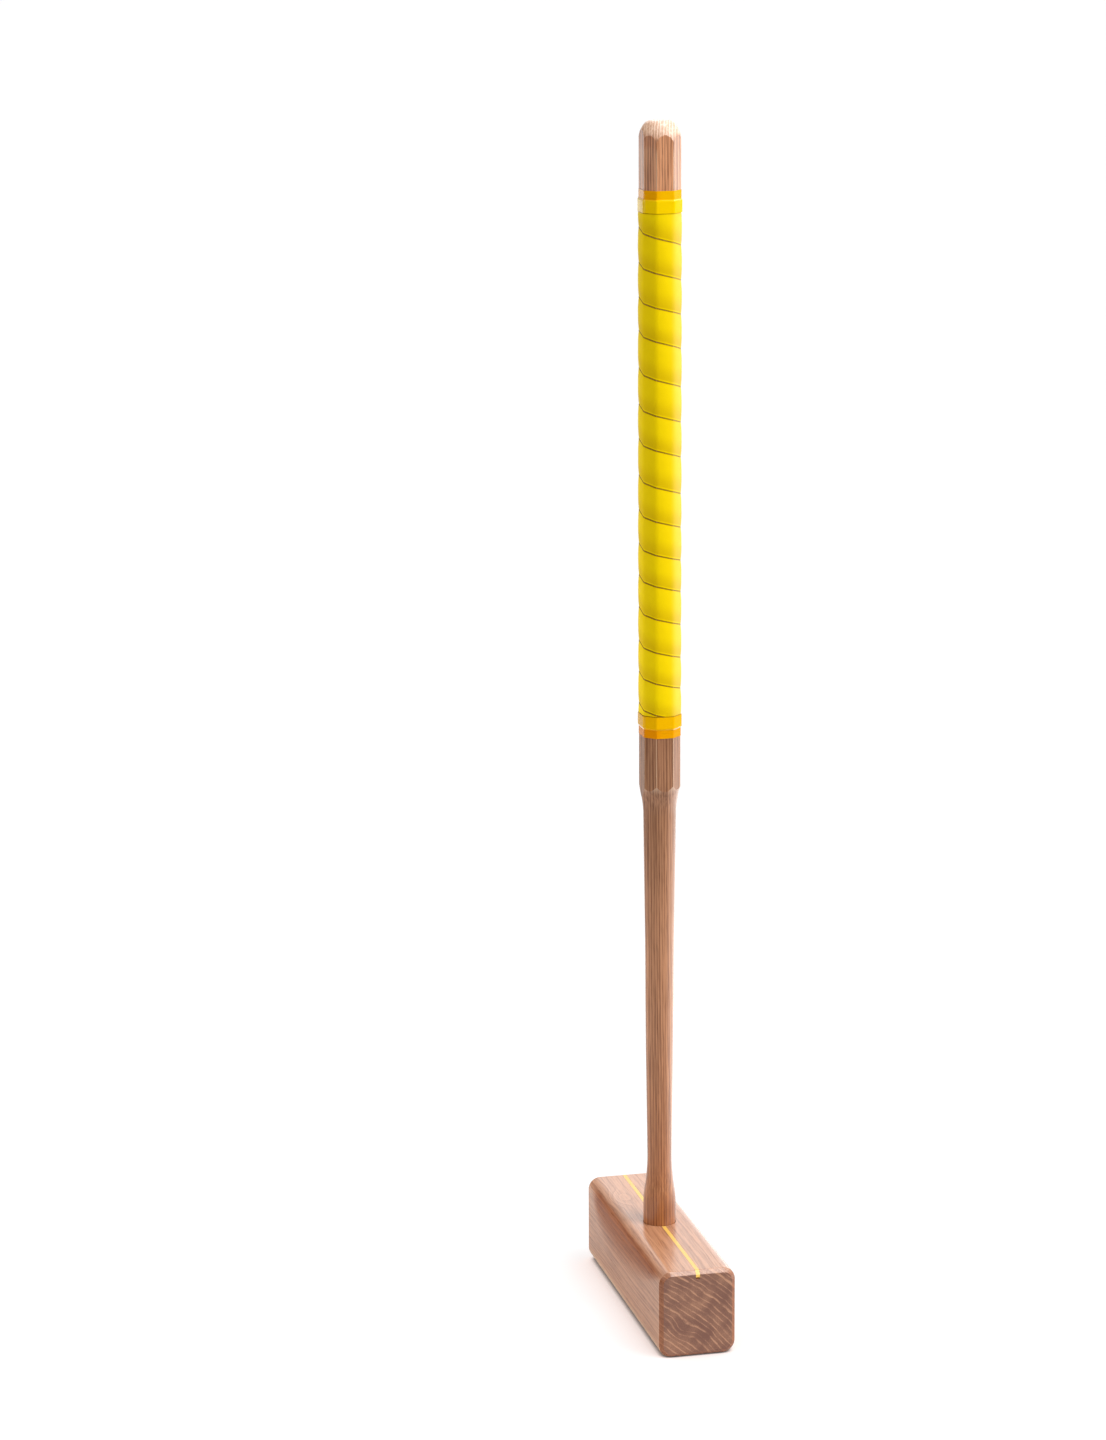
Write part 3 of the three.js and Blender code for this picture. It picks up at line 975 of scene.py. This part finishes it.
def wedgeMaterial():
    material, wire, shader = newMaterial('wedge_hardwood', {'IOR': 1.5})
    x, y, z = wire.add('ShaderNodeTexCoord', output=3).split()
    thread = wire.noise(wire.vector(x * 1500, y * 1500, z * 35), 1, 3, .6)
    cloud = wire.noise(wire.vector(x * 90, y * 90, z * 20), 1, 2)
    light = (thread - .5) * 1.3 + (cloud - .5) * .8 + .5
    colour = light.rise(0, 1).blend((*wedgeLook['dark'], 1), (*wedgeLook['light'], 1))
    colour.into(shader, 'Base Color')
    (.45 + (thread - .5) * .25).into(shader, 'Roughness')
    bump(wire, shader, thread, .00008)
    return material


# The mallet

head = makeHead()
whole = copyOf(head, 'whole')
cutHead(head)
sightFront = makeSightLine('sight_line_front', 'sight_strip_front', whole)
sightRear = makeSightLine('sight_line_rear', 'sight_strip_rear', whole)
bpy.data.objects.remove(whole)
print('head and sight line')

handle = makeHandle()
print('handle')

foam = makeFoam()
tapeUpper = makeTape('tape_band_upper', 'tape_upper', 1, upperFolds)
tapeLower = makeTape('tape_band_lower', 'tape_lower', -1, lowerFolds)
print('foam and tape')

dress(woodMaterial('head_ash', headWood, paintedReflectionAndEdges), head)
dress(woodMaterial('handle_ash', handleWood, warmFootAndPaintedLight), handle)
dress(foamMaterial([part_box('tape_upper')[0].z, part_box('tape_lower')[1].z]), foam)
dress(tapeMaterial(), tapeUpper, tapeLower)
dress(sightMaterial(), sightFront, sightRear)
dress(wedgeMaterial(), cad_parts['tenon_wedge'])

handIn(head, 'head_ash', 'head_block')
handIn(handle, 'handle_ash', 'handle')
handIn(foam, 'foam_yellow', 'foam_grip')
handIn(tapeUpper, 'tape_yellow', 'tape_upper')
handIn(tapeLower, 'tape_yellow', 'tape_lower')
handIn(sightFront, 'sight_yellow', 'sight_line_front')
handIn(sightRear, 'sight_yellow', 'sight_line_rear')
print('materials')


# The studio

studio = {
    'floorSize': 60,
    'seen': (.24, .83),  # how much of the paper's white in the picture is lit, and how much is even
    'bounce': .92,
    'farLoss': .8,  # how much less of it the room's floor gives
    'mirrored': .2,  # the paper's white in reflections
    'contactDistance': .05,
    'contactShadow': (.2, .6),
    'bounceTint': (1, .84, .8),  # painted bounce light: the wood's colour on the paper beside it
    'bounceTintFrom': (.4, 1),
    'sheet': (.35, 1.4),  # how far from the mallet the near paper ends
    'glow': .3,  # of the near paper, in its reflections
    # How the paper's brightness changes away from the mallet: from, to and by how much
    'glows': [(.15, .5, 1.9), (1, 1.8, -1.1), (1.8, 4.5, 1.8)],
    'ambient': .37,
    'room': .12,  # the unlit room in front of the paper and to its left
    'paper': 1.65,  # the brightly lit white paper behind and to the right
    'paperSide': (-.5, .87),
    'paperEdge': (0, .8),
    'key': (47, (1.35, 1.6, 1.6), 2),  # power, place and size
    'fill': (7.5, (.5, -1.9, 1.4), 1.6),
    'low': (4, (-.5, -.7, .26), .5),
    'lookAt': (0, 0, .6),
    'topStrength': 1.28,
    'topFrom': (45, 71),
    'topAngle': 24,
}


def addBoxLight(name, power, place, size):
    bpy.ops.object.light_add(type='AREA', location=place)
    lamp = named(name)
    lamp.data.energy = power
    lamp.data.size = size
    lamp.rotation_mode = 'QUATERNION'
    lamp.rotation_quaternion = (Vector(studio['lookAt']) - Vector(place)).to_track_quat('-Z', 'Y')
    return lamp


def addSun(name, strength, direction, angle):
    # The direction is the azimuth and the elevation that the light comes from
    bpy.ops.object.light_add(type='SUN')
    lamp = named(name)
    lamp.data.energy = strength
    lamp.data.angle = math.radians(angle)
    lamp.rotation_euler = (math.radians(90 - direction[1]), 0, math.radians(direction[0] + 90))


def rayKinds(wire):
    # Rays from the camera, and mirrored or bent ones
    path = wire.add('ShaderNodeLightPath').socket.node.outputs
    glossy = Wire(wire.tree, path['Is Glossy Ray'])
    glass = Wire(wire.tree, path['Is Transmission Ray'])
    return Wire(wire.tree, path['Is Camera Ray']), glossy.sum('MAXIMUM', glossy, glass)


def paperShare(x, y, length):
    # 1 towards the lit paper and 0 towards the room
    side = (x * studio['paperSide'][0] + y * studio['paperSide'][1]) / length
    return side.rise(*studio['paperEdge'])


makeNone()
bpy.ops.mesh.primitive_plane_add(size=studio['floorSize'])
floor = named('studio_floor')
material, wire, shader = newMaterial('pale_floor', {'Roughness': 1, 'Specular IOR Level': 0})
toCamera, mirrored = rayKinds(wire)
x, y, z = wire.add('ShaderNodeTexCoord', output=3).split()
distance = lengthOf(wire, x, y)
far = distance.rise(*studio['sheet'])
paper = paperShare(x, y, distance)
# The near paper bounces light to the mallet and the room's floor hardly any
bounce = (1 - far * studio['farLoss']) * studio['bounce']
tone = toCamera * studio['seen'][0] + mirrored * studio['mirrored']
tone = tone + (1 - toCamera) * (1 - mirrored) * bounce
wire.vector(tone, tone, tone).into(shader, 'Base Color')
near = wire.add(
    'ShaderNodeAmbientOcclusion', {'samples': 16}, {'Distance': studio['contactDistance']}, 1)
# Painted contact shadow: the floor's glow to the camera fades where the mallet crowds it
contactShadow = near.rise(*studio['contactShadow'])
glow = (1 - far) * studio['glow']
for start, end, gain in studio['glows']:
    glow = glow + paper * distance.rise(start, end) * gain
(toCamera * contactShadow * studio['seen'][1] + mirrored * glow).into(shader, 'Emission Strength')
# Painted bounce light: the floor's glow takes the wood's colour near the mallet
bounceTint = near.rise(*studio['bounceTintFrom']).blend((*studio['bounceTint'], 1), (1, 1, 1, 1))
bounceTint.into(shader, 'Emission Color')
dress(material, floor)

world = bpy.data.worlds.new('studio_world')
bpy.context.scene.world = world
world.use_nodes = True
wire = Wire(world.node_tree)
toCamera, mirrored = rayKinds(wire)
x, y, z = wire.add('ShaderNodeTexCoord', output=0).split()
paper = paperShare(x, y, lengthOf(wire, x, y))
lit = paper.between(studio['room'], studio['paper'])
background = world.node_tree.nodes['Background']
background.inputs['Color'].default_value = (1, 1, 1, 1)
strength = toCamera + (1 - toCamera) * (mirrored * lit + (1 - mirrored) * studio['ambient'])
strength.into(background, 'Strength')

# The soft boxes stand near enough for their light to change down the handle
addBoxLight('key_light', *studio['key'])
addBoxLight('fill_light', *studio['fill'])
addBoxLight('low_light', *studio['low']).visible_glossy = False
addSun('top_light', studio['topStrength'], studio['topFrom'], studio['topAngle'])
print('studio')


# The camera

view = {
    'place': (2.95667, -.778, 1.17223),
    'direction': (-.948435, .223095, -.225164),
    'roll': -.318,
    'lens': 104.145,
    'film': 36,  # on the long side of the picture
}

makeNone()
bpy.ops.object.camera_add(location=view['place'])
camera = named('camera')
aim = Vector(view['direction']).to_track_quat('-Z', 'Y')
camera.rotation_mode = 'QUATERNION'
camera.rotation_quaternion = aim @ Quaternion((0, 0, 1), math.radians(view['roll']))
camera.data.lens = view['lens']
camera.data.sensor_width = view['film']
camera.data.clip_end = 100
bpy.context.scene.camera = camera
bpy.context.scene.view_settings.view_transform = 'Standard'
print('camera')
